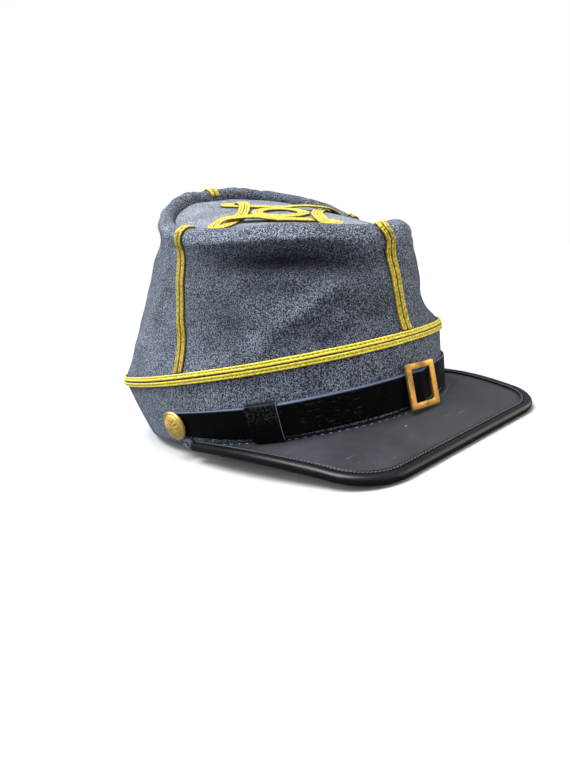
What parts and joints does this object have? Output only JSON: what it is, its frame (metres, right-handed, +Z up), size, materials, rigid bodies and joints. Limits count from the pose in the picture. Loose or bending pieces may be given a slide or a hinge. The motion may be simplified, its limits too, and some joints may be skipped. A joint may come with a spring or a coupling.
{
  "type": "kepi cap",
  "caption": "Soft wool kepi: rolled crown sloping to the front, sunken top, yellow braid, leather peak with rolled edge, and a buckled chin strap between two domed buttons.",
  "frame": {"origin": "on the floor, under the middle of the cap's bounding box as it rests", "axes": "-Y to the front, where the peak is; +X to the wearer's left; +Z up from the floor that the cap stands on"},
  "size_m": [0.1798, 0.2386, 0.149],
  "materials": {
    "wool": "heathered blue-grey felted wool",
    "top_wool": "paler and smoother lilac-grey wool",
    "braid": "flat woven yellow braid",
    "peak_leather": "satin black leather with fine scratches",
    "binding_leather": "glossy black rolled leather, stitched",
    "strap_leather": "glossy black leather with a pale raw edge",
    "tab_leather": "pale grey folded leather end",
    "brass": "warm brass, lightly tarnished"
  },
  "bodies": {
    "root": {"crown_front_right": "wool", "crown_front_left": "wool", "crown_back_left": "wool", "crown_back_right": "wool", "crown_top": "top_wool", "band": "wool", "band_braid_upper": "braid", "band_braid_lower": "braid", "seam_braid_front_a": "braid", "seam_braid_front_b": "braid", "seam_braid_back_a": "braid", "seam_braid_back_b": "braid", "seam_braid_left_a": "braid", "seam_braid_left_b": "braid", "seam_braid_right_a": "braid", "seam_braid_right_b": "braid", "top_knot_outer": "braid", "top_knot_inner": "braid", "top_ring_outer": "braid", "top_ring_inner": "braid", "visor": "peak_leather", "visor_binding": "binding_leather", "visor_tab_right": "tab_leather", "visor_tab_left": "tab_leather", "chin_strap": "strap_leather", "strap_end": "strap_leather", "strap_keeper": "strap_leather", "buckle": "brass", "side_button_right": "brass", "side_button_left": "brass"}
  },
  "joints": []
}
